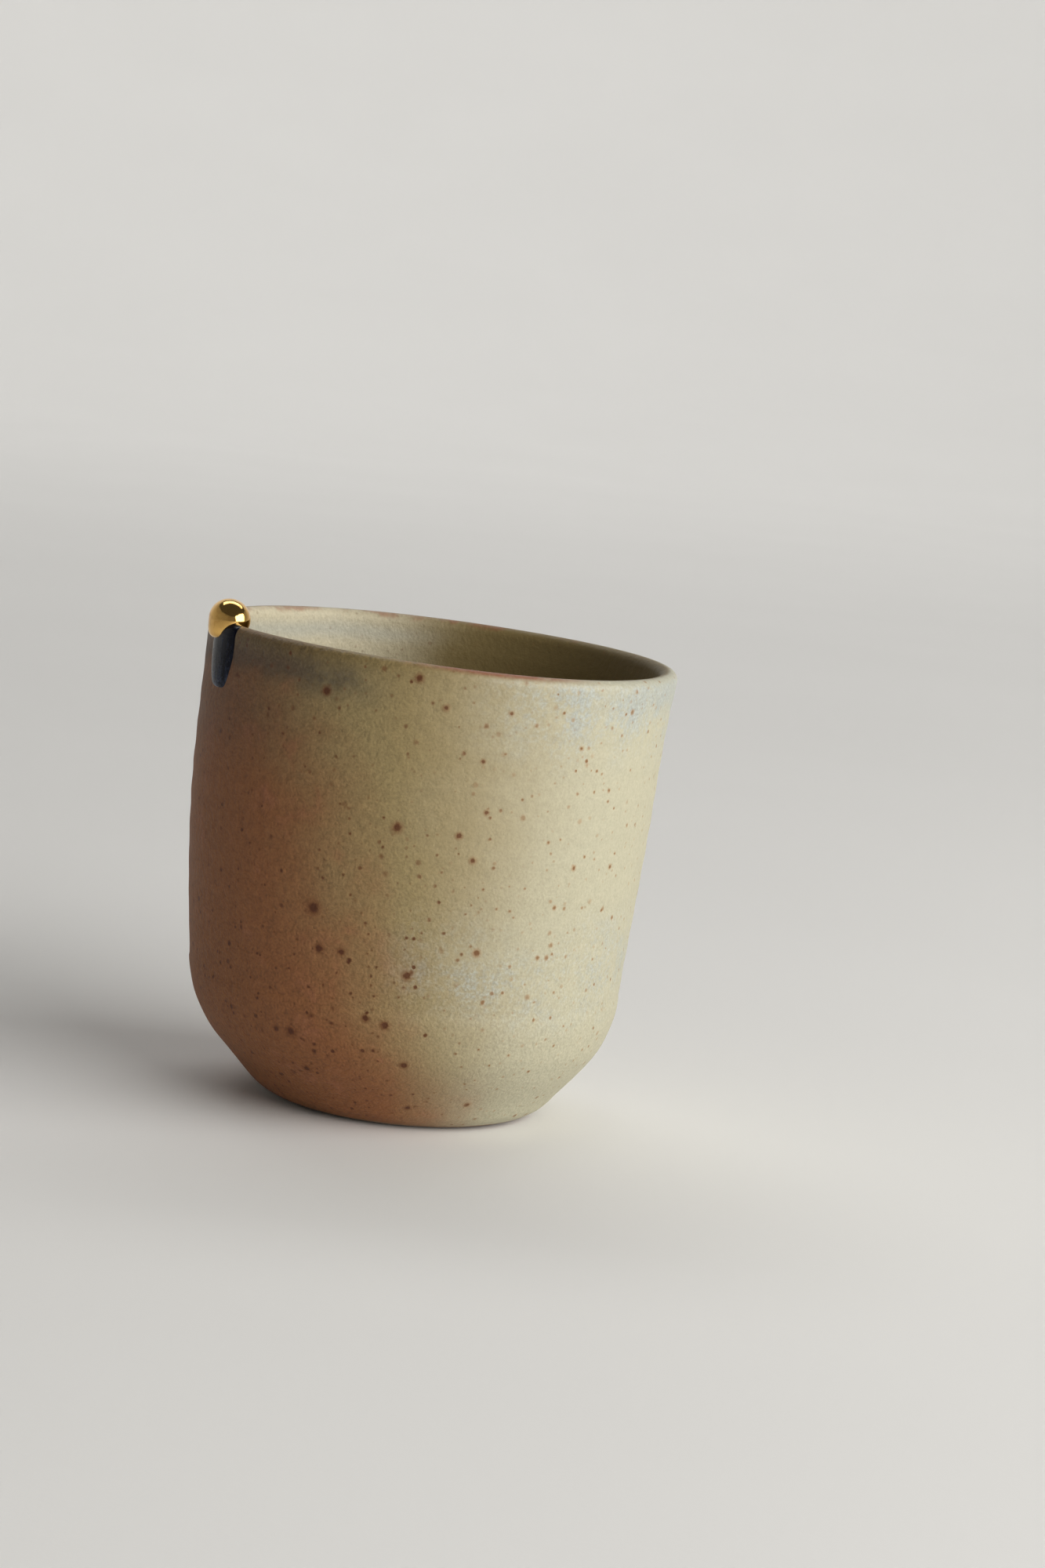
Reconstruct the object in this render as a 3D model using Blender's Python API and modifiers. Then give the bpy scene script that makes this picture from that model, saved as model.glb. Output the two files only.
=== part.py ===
"""A hand-thrown stoneware cup with a gold bead mending its rim and a run of blue glaze below the bead.

Metres, +Z up. The origin is the centre of the flat foot, which stands on the ground plane. The gold bead
lies towards -X. Headings are degrees round +Z, counted from +X towards +Y.
"""
import math

import bmesh
import bpy
from mathutils import Vector

MM = 0.001

# The cup as it is turned, before the hand's unevenness
HEIGHT = 89.5 * MM              # foot to the crest of the lip, the average round the rim
HEEL_RADIUS = 41.0 * MM         # outside, where the wall meets the bevel, before the corner is rounded
HEEL_HEIGHT = 16.4 * MM
WALL_FLARE = 4.0 * MM           # how much wider the wall is at the lip than at the heel
LIP_RADIUS = HEEL_RADIUS + WALL_FLARE   # outside, at the foot of the lip's rounding
LIP_THICKNESS = 3.7 * MM
HEEL_ROUNDING = 24.0 * MM
FOOT_RADIUS = 26.6 * MM         # where the bevel meets the ground, before the corner is rounded
FOOT_ROUNDING = 10.5 * MM
BELLY = 0.8 * MM                # how far the wall swells past a straight line from heel to lip
WALL_THICKNESS = 4.4 * MM       # low in the wall; it thins to the lip
FLOOR_THICKNESS = 6.5 * MM
FLOOR_ROUNDING = 20.0 * MM      # inside, between floor and wall

# The hand's unevenness
SWAY = 1.6 * MM                 # the middle of the wall stands this far off the axis
SWAY_HEADING = 159.5
RIM_RISE = 1.15 * MM            # the rim stands higher by this on the side of the sway, and lower opposite
RIM_WAVE = 0.1 * MM

# The gold bead over the rim
BEAD_HEADING = 180.0
BEAD_ACROSS = 7.6 * MM          # from inside the cup to outside
BEAD_ALONG = 10.0 * MM          # along the rim
BEAD_TALL = 7.6 * MM
BEAD_LIFT = 0.5 * MM            # its centre above the crest of the lip
BEAD_FULLNESS = 5.0             # how square its lower outer side hangs: 2 is a plain egg

# The run of blue glaze, which starts at the crest of the lip and hangs down the outside
RUN_HEADING = 184.0
RUN_LENGTH = 13.2 * MM
RUN_OVERLAP = 0.5 * MM          # how far its top laps over the crest
RUN_WIDTH = 12.4 * MM           # towards its top, which the bead covers
RUN_END_WIDTH = 8.8 * MM        # towards its lower end
RUN_BLUNTNESS = 0.45            # how its outline closes: 1 is an ellipse, and less is blunter
RUN_PROUD = 1.0 * MM            # its thickness, at its thickest

# The space that touching pieces leave to each other
CLEARANCE = 0.3 * MM

# How finely the round forms are divided
TURN_STEPS = 60
WALL_STEPS = 9
ROUND_STEPS = 5
BEAD_SEGMENTS = 28
BEAD_RINGS = 14
MERGE = 0.01 * MM
SMOOTH_ANGLE = 40.0

# Colours as linear RGB, then metallic and roughness
STONEWARE = ("stoneware", (0.36, 0.29, 0.17), 0.0, 0.75)
GOLD = ("gold", (0.83, 0.52, 0.17), 1.0, 0.12)
BLUE_GLAZE = ("blue_glaze", (0.012, 0.018, 0.045), 0.0, 0.1)


def arc(centre, radius, start, end, steps):
    """Points on a circle from the start angle to the end angle, in degrees."""
    points = []
    for step in range(steps + 1):
        angle = math.radians(start + (end - start) * step / steps)
        points.append(Vector((centre.x + radius * math.cos(angle), centre.y + radius * math.sin(angle))))
    return points


def rounded_corner(before, corner, after, radius, steps):
    """Points of the arc that rounds a corner between two straight lines."""
    towards_before = (before - corner).normalized()
    towards_after = (after - corner).normalized()
    half_angle = towards_before.angle(towards_after) / 2
    reach = min(radius / math.tan(half_angle), (before - corner).length * 0.95, (after - corner).length * 0.95)
    fitted = reach * math.tan(half_angle)
    centre = corner + (towards_before + towards_after).normalized() * (fitted / math.sin(half_angle))
    first = corner + towards_before * reach - centre
    last = corner + towards_after * reach - centre
    turn = first.angle_signed(last)
    points = []
    for step in range(steps + 1):
        angle = -turn * step / steps
        across = Vector((first.x * math.cos(angle) - first.y * math.sin(angle),
                         first.x * math.sin(angle) + first.y * math.cos(angle)))
        points.append(centre + across)
    return points


def wall_radius(height):
    """The outer radius of the turned wall at a height between the heel and the lip."""
    top = HEIGHT - LIP_THICKNESS / 2
    share = (height - HEEL_HEIGHT) / (top - HEEL_HEIGHT)
    swell = BELLY * math.sin(math.pi * min(max(share, 0.0), 1.0)) ** 2
    return HEEL_RADIUS + WALL_FLARE * share + swell


def wall_thickness(height):
    """The wall's thickness at a height, thinning evenly from the heel to the lip."""
    top = HEIGHT - LIP_THICKNESS / 2
    share = min(max((height - HEEL_HEIGHT) / (top - HEEL_HEIGHT), 0.0), 1.0)
    return WALL_THICKNESS + (LIP_THICKNESS - WALL_THICKNESS) * share


def wall_line(bottom, top, inside, offset=0.0):
    """Points up one side of the wall as radius and height, moved off the clay by an offset."""
    points = []
    for step in range(WALL_STEPS + 1):
        height = bottom + (top - bottom) * step / WALL_STEPS
        if inside:
            radius = wall_radius(height) - wall_thickness(height) - offset
        else:
            radius = wall_radius(height) + offset
        points.append(Vector((radius, height)))
    return points


def lip_arc(offset=0.0):
    """The rounding of the lip from its inner side over the crest to its outer side."""
    middle = Vector((LIP_RADIUS - LIP_THICKNESS / 2, HEIGHT - LIP_THICKNESS / 2))
    return arc(middle, LIP_THICKNESS / 2 + offset, 180, 0, 2 * ROUND_STEPS)


def outer_line():
    """The outside from the lip's inner edge over the crest and down to the edge of the flat foot."""
    top = HEIGHT - LIP_THICKNESS / 2
    corner = Vector((HEEL_RADIUS, HEEL_HEIGHT))
    foot = Vector((FOOT_RADIUS, 0.0))
    above = Vector((wall_radius(HEIGHT / 2), HEIGHT / 2))
    heel = rounded_corner(above, corner, foot, HEEL_ROUNDING, ROUND_STEPS)
    base = rounded_corner(corner, foot, Vector((0.0, 0.0)), FOOT_ROUNDING, ROUND_STEPS)
    wall = wall_line(heel[0].y, top, inside=False)
    wall.reverse()
    return lip_arc() + wall[1:-1] + heel + base


def inner_line():
    """The inside from the middle of the floor to the lip's inner edge."""
    top = HEIGHT - LIP_THICKNESS / 2
    low = FLOOR_THICKNESS + FLOOR_ROUNDING
    above = Vector((wall_radius(low) - wall_thickness(low), low))
    corner = Vector((above.x, FLOOR_THICKNESS))
    middle = Vector((0.0, FLOOR_THICKNESS))
    floor = rounded_corner(middle, corner, Vector((above.x, top)), FLOOR_ROUNDING, ROUND_STEPS)
    wall = wall_line(floor[-1].y, top, inside=True)
    return [middle] + floor + wall[1:-1]


def thrown(point):
    """Where a point of the true turned form lies on the uneven, hand-thrown cup."""
    share = point.z / HEIGHT
    heading = math.radians(SWAY_HEADING)
    turn = math.atan2(point.y, point.x) - heading
    reach = math.hypot(point.x, point.y) / LIP_RADIUS
    sway = SWAY * 4 * share * (1 - share)
    waves = math.sin(2 * turn) - math.cos(3 * turn)
    lift = (RIM_RISE * math.cos(turn) + RIM_WAVE * waves) * reach * max(share, 0.0) ** 3
    return point + Vector((sway * math.cos(heading), sway * math.sin(heading), lift))


def skin_point(heading, distance, proud):
    """A point on the outside of the true turned form, over the lip or down the wall.

    The distance is counted along the skin from the crest of the lip, outwards and down, and proud is
    how far the point stands off the clay.
    """
    rounding = LIP_THICKNESS / 2
    quarter = math.pi / 2 * rounding
    if distance < quarter:
        slope = math.pi / 2 - distance / rounding
        radius = LIP_RADIUS - rounding + (rounding + proud) * math.cos(slope)
        height = HEIGHT - rounding + (rounding + proud) * math.sin(slope)
    else:
        height = HEIGHT - rounding - (distance - quarter)
        radius = wall_radius(height) + proud
    angle = math.radians(heading)
    return Vector((radius * math.cos(angle), radius * math.sin(angle), height))


def collection(name):
    """A new collection in the scene."""
    made = bpy.data.collections.new(name)
    bpy.context.scene.collection.children.link(made)
    return made


def material(name, colour, metallic, roughness):
    """A plain Principled material."""
    made = bpy.data.materials.new(name)
    made.use_nodes = True
    shader = made.node_tree.nodes["Principled BSDF"]
    shader.inputs["Base Color"].default_value = (*colour, 1.0)
    shader.inputs["Metallic"].default_value = metallic
    shader.inputs["Roughness"].default_value = roughness
    return made


def add_object(name, mesh, target):
    """A new object for a mesh, in a collection."""
    made = bpy.data.objects.new(name, mesh)
    target.objects.link(made)
    return made


def turned(name, line, closed, target):
    """A solid turned from a profile by a Screw modifier, made a mesh and given the hand's unevenness."""
    mesh = bpy.data.meshes.new(name + "_profile")
    edges = [(index, index + 1) for index in range(len(line) - 1)]
    if closed:
        edges.append((len(line) - 1, 0))
    mesh.from_pydata([(point.x, 0.0, point.y) for point in line], edges, [])
    profile = add_object(name + "_profile", mesh, target)
    screw = profile.modifiers.new("turn", 'SCREW')
    screw.steps = TURN_STEPS
    screw.render_steps = TURN_STEPS
    screw.use_merge_vertices = True
    screw.merge_threshold = MERGE
    evaluated = profile.evaluated_get(bpy.context.evaluated_depsgraph_get())
    solid = bpy.data.meshes.new_from_object(evaluated)
    bpy.data.objects.remove(profile)
    bpy.data.meshes.remove(mesh)
    solid.name = name
    for vertex in solid.vertices:
        vertex.co = thrown(vertex.co)
    return add_object(name, solid, target)


def ball(name, place, target):
    """A closed round form: a unit sphere with each of its points put where a function says."""
    shape = bmesh.new()
    bmesh.ops.create_uvsphere(shape, u_segments=BEAD_SEGMENTS, v_segments=BEAD_RINGS, radius=1.0)
    for vertex in shape.verts:
        vertex.co = place(vertex.co)
    mesh = bpy.data.meshes.new(name)
    shape.to_mesh(mesh)
    shape.free()
    return add_object(name, mesh, target)


def hanging(point):
    """A unit sphere's point, moved out where the lower outer side hangs full like a drop."""
    if point.x <= 0 or point.z >= 0:
        return point
    ring = math.hypot(point.x, point.z)
    corner = (point.x / ring) ** BEAD_FULLNESS + (-point.z / ring) ** BEAD_FULLNESS
    stretch = corner ** (-1 / BEAD_FULLNESS)
    return Vector((point.x * stretch, point.y, point.z * stretch))


def bead_place(grown):
    """The function that puts a unit sphere's points on the bead, larger all round by grown."""
    heading = math.radians(BEAD_HEADING)
    outwards = Vector((math.cos(heading), math.sin(heading), 0.0))
    along = Vector((-math.sin(heading), math.cos(heading), 0.0))
    crest = Vector((0.0, 0.0, HEIGHT)) + outwards * (LIP_RADIUS - LIP_THICKNESS / 2)
    centre = thrown(crest) + Vector((0.0, 0.0, BEAD_LIFT))

    def place(point):
        full = hanging(point)
        return (centre + outwards * full.x * (BEAD_ACROSS / 2 + grown)
                + along * full.y * (BEAD_ALONG / 2 + grown)
                + Vector((0.0, 0.0, full.z * (BEAD_TALL / 2 + grown))))
    return place


def run_place(point):
    """Puts a unit sphere's point on the glaze run, a full-sided drop that narrows and thickens downwards.

    The sphere's inner half is pressed flat against the skin, a clearance off it.
    """
    fall = (1 - point.z) / 2
    ring = max(math.hypot(point.x, point.y), MERGE)
    fullness = ring ** RUN_BLUNTNESS / ring
    proud = CLEARANCE + RUN_PROUD * (0.6 + 0.4 * fall) * fullness * max(point.x, 0.0)
    width = RUN_WIDTH + (RUN_END_WIDTH - RUN_WIDTH) * fall
    side = width / 2 * fullness * point.y
    distance = RUN_LENGTH * fall - RUN_OVERLAP
    return thrown(skin_point(RUN_HEADING + math.degrees(side / LIP_RADIUS), distance, proud))


def cut(solid, cutter):
    """Cuts one solid by another, which becomes a hidden wire guide."""
    modifier = solid.modifiers.new("cut by " + cutter.name, 'BOOLEAN')
    modifier.operation = 'DIFFERENCE'
    modifier.solver = 'EXACT'
    modifier.object = cutter
    cutter.hide_render = True
    cutter.display_type = 'WIRE'


def finish(solid, look):
    """Gives a solid its material and smooth shading."""
    solid.data.materials.append(material(*look))
    solid.data.shade_smooth()
    solid.data.set_sharp_from_angle(angle=math.radians(SMOOTH_ANGLE))


def main():
    for old in list(bpy.data.objects):
        bpy.data.objects.remove(old)
    parts = collection("kintsugi_cup")
    cutters = collection("cutters")

    body = turned("cup_body", inner_line() + outer_line() + [Vector((0.0, 0.0))], False, parts)
    finish(body, STONEWARE)

    # The clay near the rim, grown by the clearance, which the bead sits astride
    top = HEIGHT - LIP_THICKNESS / 2
    bottom = HEIGHT - 2 * RUN_LENGTH
    outside = wall_line(bottom, top, inside=False, offset=CLEARANCE)
    outside.reverse()
    inside = wall_line(bottom, top, inside=True, offset=CLEARANCE)
    rim_space = turned("rim_space", lip_arc(CLEARANCE) + outside[1:] + inside[:-1], True, cutters)
    bead_space = ball("bead_space", bead_place(CLEARANCE), cutters)

    bead = ball("gold_bead", bead_place(0.0), parts)
    cut(bead, rim_space)
    finish(bead, GOLD)

    run = ball("blue_glaze_run", run_place, parts)
    cut(run, bead_space)
    finish(run, BLUE_GLAZE)


main()
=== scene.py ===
"""Looks of the kintsugi cup: ash glaze over speckled stoneware, a gold bead and a run of blue glass.

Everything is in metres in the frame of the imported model, +Z up, the foot's centre at the origin and the
gold bead towards -X. Headings are degrees round +Z from +X towards +Y. Shader lengths are millimetres.
"""
from __future__ import annotations

import logging
import math
from dataclasses import dataclass
from enum import Enum
from typing import Callable

import bmesh
import bpy
from mathutils import Matrix, Vector


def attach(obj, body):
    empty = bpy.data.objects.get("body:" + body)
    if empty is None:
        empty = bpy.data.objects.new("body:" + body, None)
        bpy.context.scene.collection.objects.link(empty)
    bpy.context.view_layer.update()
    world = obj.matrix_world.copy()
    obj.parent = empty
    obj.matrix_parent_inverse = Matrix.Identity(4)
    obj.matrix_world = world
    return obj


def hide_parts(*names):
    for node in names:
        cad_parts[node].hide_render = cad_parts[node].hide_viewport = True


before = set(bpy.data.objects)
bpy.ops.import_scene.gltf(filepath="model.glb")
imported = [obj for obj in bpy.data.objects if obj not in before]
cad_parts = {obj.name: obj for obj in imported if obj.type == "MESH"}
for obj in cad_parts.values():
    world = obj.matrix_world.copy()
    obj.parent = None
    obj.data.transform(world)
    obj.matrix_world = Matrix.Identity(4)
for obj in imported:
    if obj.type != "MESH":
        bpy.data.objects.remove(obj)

MM = 0.001
ROOT = "root"
CREST_DISTANCE = "crest_distance"
SEED_SHIFT = 0.1
BEVEL_ROWS = 4
TINY = 1e-5
LOG = logging.getLogger("kintsugi_cup")

Colour = tuple[float, float, float]
Span = tuple[float, float]
Number = "Value | float"


class Blend(Enum):
    """How two colours are mixed."""

    MIX = "MIX"
    MULTIPLY = "MULTIPLY"


class Side(Enum):
    """The two sides of the cup's wall."""

    INSIDE = -1
    OUTSIDE = 1


class Value:
    """A node's output, with Python's arithmetic for numbers."""

    def __init__(self, graph: Graph, socket: bpy.types.NodeSocket) -> None:
        """Wraps a socket.

        Args:
            graph: The graph that the socket's node is in.
            socket: The output socket.
        """
        self.graph = graph
        self.socket = socket

    def _math(self, operation: str, *others: Number) -> Value:
        """Adds a Math node that starts with this number.

        Args:
            operation: The Math node's operation.
            others: The operation's further numbers.

        Returns:
            The node's result.
        """
        return self.graph.math(operation, self, *others)

    def __add__(self, other: Number) -> Value:
        """The sum."""
        return self._math("ADD", other)

    def __radd__(self, other: float) -> Value:
        """The sum, from the right."""
        return self.graph.math("ADD", other, self)

    def __sub__(self, other: Number) -> Value:
        """The difference."""
        return self._math("SUBTRACT", other)

    def __rsub__(self, other: float) -> Value:
        """The difference, from the right."""
        return self.graph.math("SUBTRACT", other, self)

    def __mul__(self, other: Number) -> Value:
        """The product."""
        return self._math("MULTIPLY", other)

    def __rmul__(self, other: float) -> Value:
        """The product, from the right."""
        return self.graph.math("MULTIPLY", other, self)

    def __truediv__(self, other: Number) -> Value:
        """The quotient."""
        return self._math("DIVIDE", other)

    def __rtruediv__(self, other: float) -> Value:
        """The quotient, from the right."""
        return self.graph.math("DIVIDE", other, self)

    def __pow__(self, other: Number) -> Value:
        """The power."""
        return self._math("POWER", other)

    def __neg__(self) -> Value:
        """The negative."""
        return self._math("MULTIPLY", -1.0)

    def __abs__(self) -> Value:
        """The size without its sign."""
        return self._math("ABSOLUTE")

    def sine(self) -> Value:
        """The sine of an angle in radians."""
        return self._math("SINE")

    def cosine(self) -> Value:
        """The cosine of an angle in radians."""
        return self._math("COSINE")

    def at_least(self, other: Number) -> Value:
        """The larger of two numbers."""
        return self._math("MAXIMUM", other)

    def at_most(self, other: Number) -> Value:
        """The smaller of two numbers."""
        return self._math("MINIMUM", other)

    def step(self, start: float, end: float) -> Value:
        """A smooth step.

        Args:
            start: Where the step is still 0.
            end: Where it has reached 1. It may lie below the start.

        Returns:
            A number from 0 to 1.
        """
        if start > end:
            return 1.0 - self.step(end, start)
        return self.graph.add("ShaderNodeMapRange", {"interpolation_type": "SMOOTHSTEP"},
                              {"Value": self, "From Min": start, "From Max": end}, "Result")

    def hump(self, centre: float, reach: float) -> Value:
        """A smooth hump, 1 at its centre and 0 beyond its reach."""
        return abs(self - centre).step(reach, 0.0)


class Graph:
    """A node tree being built, for a material or for geometry."""

    def __init__(self, tree: bpy.types.NodeTree) -> None:
        """Starts on an empty tree.

        Args:
            tree: The node tree that takes the nodes.
        """
        self.tree = tree
        tree.nodes.clear()

    def add(self, kind: str, settings: dict | None = None, inputs: dict | None = None,
            output: str | int = 0) -> Value:
        """Adds a node.

        Args:
            kind: The node's type.
            settings: The node's own properties, set before its sockets.
            inputs: Values or links for its sockets, by socket name, identifier or number.
            output: The wanted output's name, identifier or number.

        Returns:
            The wanted output.
        """
        node = self.tree.nodes.new(kind)
        for name, setting in (settings or {}).items():
            setattr(node, name, setting)
        for key, given in (inputs or {}).items():
            socket = self._socket(node.inputs, key)
            if isinstance(given, Value):
                self.tree.links.new(given.socket, socket)
            else:
                socket.default_value = given
        return Value(self, self._socket(node.outputs, output))

    def end(self, kind: str, socket: str, value: Value) -> None:
        """Adds the node that takes the tree's result."""
        node = self.tree.nodes.new(kind)
        self.tree.links.new(value.socket, node.inputs[socket])

    @staticmethod
    def _socket(sockets: bpy.types.bpy_prop_collection, key: str | int) -> bpy.types.NodeSocket:
        """Finds a socket.

        Args:
            sockets: A node's inputs or outputs.
            key: The socket's number, identifier or name.

        Returns:
            The socket. An identifier counts before a name.
        """
        if isinstance(key, int):
            return sockets[key]
        for socket in sockets:
            if socket.identifier == key:
                return socket
        for socket in sockets:
            if socket.name == key and socket.enabled:
                return socket
        raise KeyError(key)

    def other(self, value: Value, output: str) -> Value:
        """Another output of the node that a value comes from."""
        return Value(self, self._socket(value.socket.node.outputs, output))

    def math(self, operation: str, *numbers: Number) -> Value:
        """Adds a Math node.

        Args:
            operation: The node's operation.
            numbers: Its numbers, in order.

        Returns:
            The result.
        """
        return self.add("ShaderNodeMath", {"operation": operation}, dict(enumerate(numbers)))

    def vector(self, operation: str, *vectors: Value | tuple, output: str = "Vector") -> Value:
        """Adds a Vector Math node.

        Args:
            operation: The node's operation.
            vectors: Its vectors, in order.
            output: Vector, or Value where the operation gives a number.

        Returns:
            The result.
        """
        return self.add("ShaderNodeVectorMath", {"operation": operation}, dict(enumerate(vectors)), output)

    def scaled(self, vector: Value, scale: float) -> Value:
        """A vector times a number."""
        return self.add("ShaderNodeVectorMath", {"operation": "SCALE"}, {0: vector, "Scale": scale})

    def parts(self, vector: Value) -> tuple[Value, Value, Value]:
        """The three parts of a vector."""
        x = self.add("ShaderNodeSeparateXYZ", None, {0: vector}, "X")
        return x, self.other(x, "Y"), self.other(x, "Z")

    def joined(self, x: Number, y: Number, z: Number) -> Value:
        """A vector from its three parts."""
        return self.add("ShaderNodeCombineXYZ", None, {"X": x, "Y": y, "Z": z})

    def noise(self, place: Value, pitch: float, detail: float = 2.0, stretch: float = 0.0) -> Value:
        """Smooth noise about 0.

        Args:
            place: Where, as a vector.
            pitch: The size of its waves, in the place's own unit.
            detail: How many finer layers it has.
            stretch: How far the noise distorts itself.

        Returns:
            A number from about -1 to 1.
        """
        fac = self.add("ShaderNodeTexNoise", {"noise_dimensions": "3D"},
                       {"Vector": place, "Scale": 1.0 / pitch, "Detail": detail, "Distortion": stretch}, 0)
        return fac * 2.0 - 1.0

    def mix(self, factor: Number, first: Value | Colour, second: Value | Colour,
            blend: Blend = Blend.MIX) -> Value:
        """Mixes two colours.

        Args:
            factor: The share of the second colour.
            first: The first colour.
            second: The second colour.
            blend: How they are mixed.

        Returns:
            The mixed colour.
        """
        def full(colour: Value | Colour) -> Value | tuple:
            """A plain colour with its alpha."""
            return colour if isinstance(colour, Value) else (*colour, 1.0)

        return self.add("ShaderNodeMix", {"data_type": "RGBA", "blend_type": blend.value},
                        {"Factor_Float": factor, "A_Color": full(first), "B_Color": full(second)},
                        "Result_Color")


class Finish:
    """A material on the object, made once."""

    name = "finish"

    def __init__(self) -> None:
        """Holds no material until it is first asked for."""
        self._material: bpy.types.Material | None = None

    def material(self) -> bpy.types.Material:
        """The finished material."""
        if self._material is None:
            made = bpy.data.materials.new(self.name)
            made.use_nodes = True
            graph = Graph(made.node_tree)
            place = graph.add("ShaderNodeTexCoord", None, None, "Object")
            shader = self.shader(graph, graph.scaled(place, 1.0 / MM))
            graph.end("ShaderNodeOutputMaterial", "Surface", shader)
            self._material = made
        return self._material

    def shader(self, graph: Graph, place: Value) -> Value:
        """Builds the surface.

        Args:
            graph: The material's graph.
            place: The point on the piece, in millimetres.

        Returns:
            The surface's shader.
        """
        raise NotImplementedError

    @staticmethod
    def bumped(graph: Graph, height: Value) -> Value:
        """A normal from a relief, whose height is in millimetres."""
        return graph.add("ShaderNodeBump", None, {"Height": height, "Distance": MM, "Strength": 1.0})


@dataclass(frozen=True)
class IronSpot:
    """One of the larger iron spots on the outside.

    Attributes:
        heading: Its heading in degrees.
        height: Height above the foot in millimetres.
        width: The spot's width in millimetres.
    """

    heading: float
    height: float
    width: float


@dataclass
class ThrownForm:
    """The cup's form as the solid model has it, from the same sizes.

    Attributes are metres, apart from headings, which are degrees.
    """

    height: float = 89.5 * MM
    heel_radius: float = 41.0 * MM
    heel_height: float = 16.4 * MM
    wall_flare: float = 4.0 * MM
    lip_thickness: float = 3.7 * MM
    heel_rounding: float = 24.0 * MM
    foot_radius: float = 26.6 * MM
    foot_rounding: float = 10.5 * MM
    belly: float = 0.8 * MM
    wall_thickness: float = 4.4 * MM
    floor_thickness: float = 6.5 * MM
    floor_rounding: float = 20.0 * MM
    sway: float = 1.6 * MM
    sway_heading: float = 159.5
    rim_rise: float = 1.15 * MM
    rim_wave: float = 0.1 * MM
    outline_rows: tuple[int, ...] = (40, 24, 16, 1)

    @property
    def lip_radius(self) -> float:
        """The outer radius at the foot of the lip's rounding."""
        return self.heel_radius + self.wall_flare

    @property
    def top(self) -> float:
        """The height of the lip's middle, where its rounding starts."""
        return self.height - self.lip_thickness / 2

    @property
    def crest_radius(self) -> float:
        """The radius of the crest of the lip."""
        return self.lip_radius - self.lip_thickness / 2

    def share(self, height: float) -> float:
        """How far up a height lies from the heel to the lip."""
        return (height - self.heel_height) / (self.top - self.heel_height)

    def radius(self, height: float, side: Side = Side.OUTSIDE, offset: float = 0.0) -> float:
        """The wall's radius at a height.

        Args:
            height: The height above the foot.
            side: Which side of the wall.
            offset: How far the point stands off the clay.

        Returns:
            The radius.
        """
        share = min(max(self.share(height), 0.0), 1.0)
        swell = self.belly * math.sin(math.pi * share) ** 2
        outer = self.heel_radius + self.wall_flare * self.share(height) + swell
        if side is Side.OUTSIDE:
            return outer + offset
        return outer - self.wall_thickness - (self.lip_thickness - self.wall_thickness) * share - offset

    def wall(self, bottom: float, rows: int, side: Side, offset: float = 0.0) -> list[Vector]:
        """Points of the wall, bottom to top.

        Args:
            bottom: The height where it starts.
            rows: The number of steps up to the lip.
            side: Which side of the wall.
            offset: How far the points stand off the clay.

        Returns:
            Points as radius and height.
        """
        heights = (bottom + (self.top - bottom) * row / rows for row in range(rows + 1))
        return [Vector((self.radius(height, side, offset), height)) for height in heights]

    def lip(self, rows: int, offset: float = 0.0) -> list[Vector]:
        """Points of the lip's rounding, from inside to outside.

        Args:
            rows: The number of steps.
            offset: How far the points stand off the clay.

        Returns:
            Points as radius and height.
        """
        reach = self.lip_thickness / 2 + offset
        angles = (math.pi * (1 - row / rows) for row in range(rows + 1))
        return [Vector((self.crest_radius + reach * math.cos(angle), self.top + reach * math.sin(angle)))
                for angle in angles]

    @staticmethod
    def corner(before: Vector, corner: Vector, after: Vector, radius: float, rows: int) -> list[Vector]:
        """Points of the arc that rounds a corner.

        Args:
            before: A point on the line that comes to the corner.
            corner: The corner.
            after: A point on the line that leaves it.
            radius: The arc's radius.
            rows: The number of steps.

        Returns:
            Points as radius and height.
        """
        towards_before = (before - corner).normalized()
        towards_after = (after - corner).normalized()
        half = towards_before.angle(towards_after) / 2
        middle = corner + (towards_before + towards_after).normalized() * (radius / math.sin(half))
        first = corner + towards_before * (radius / math.tan(half)) - middle
        last = corner + towards_after * (radius / math.tan(half)) - middle
        turn = -first.angle_signed(last)
        return [middle + Matrix.Rotation(turn * row / rows, 2) @ first for row in range(rows + 1)]

    def inner_line(self, floor_rows: int, corner_rows: int, wall_rows: int) -> list[Vector]:
        """The inside, from the floor's middle to the lip.

        Args:
            floor_rows: Steps across the flat floor.
            corner_rows: Steps round the corner.
            wall_rows: Steps up the wall.

        Returns:
            Points as radius and height.
        """
        low = self.floor_thickness + self.floor_rounding
        above = Vector((self.radius(low, Side.INSIDE), low))
        corner = Vector((above.x, self.floor_thickness))
        middle = Vector((0.0, self.floor_thickness))
        bend = self.corner(middle, corner, Vector((above.x, self.top)), self.floor_rounding, corner_rows)
        flat = [middle.lerp(bend[0], row / floor_rows) for row in range(floor_rows)]
        return flat + bend + self.wall(bend[-1].y, wall_rows, Side.INSIDE)[1:-1]

    def outer_line(self, wall_rows: int, heel_rows: int, foot_rows: int, base_rows: int) -> list[Vector]:
        """The outside, from under the lip to the foot's middle.

        Args:
            wall_rows: Steps down the wall.
            heel_rows: Steps round the heel.
            foot_rows: Steps round the edge of the foot.
            base_rows: Steps across the underside.

        Returns:
            Points as radius and height.
        """
        corner = Vector((self.heel_radius, self.heel_height))
        foot = Vector((self.foot_radius, 0.0))
        middle = Vector((0.0, 0.0))
        above = Vector((self.radius(self.height / 2), self.height / 2))
        heel = self.corner(above, corner, foot, self.heel_rounding, heel_rows)
        edge = self.corner(corner, foot, middle, self.foot_rounding, foot_rows)
        wall = self.wall(heel[0].y, wall_rows, Side.OUTSIDE)[1:-1]
        bevel = [heel[-1].lerp(edge[0], row / BEVEL_ROWS) for row in range(1, BEVEL_ROWS)]
        base = [edge[-1].lerp(middle, row / base_rows) for row in range(1, base_rows + 1)]
        return wall[::-1] + heel + bevel + edge + base

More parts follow.
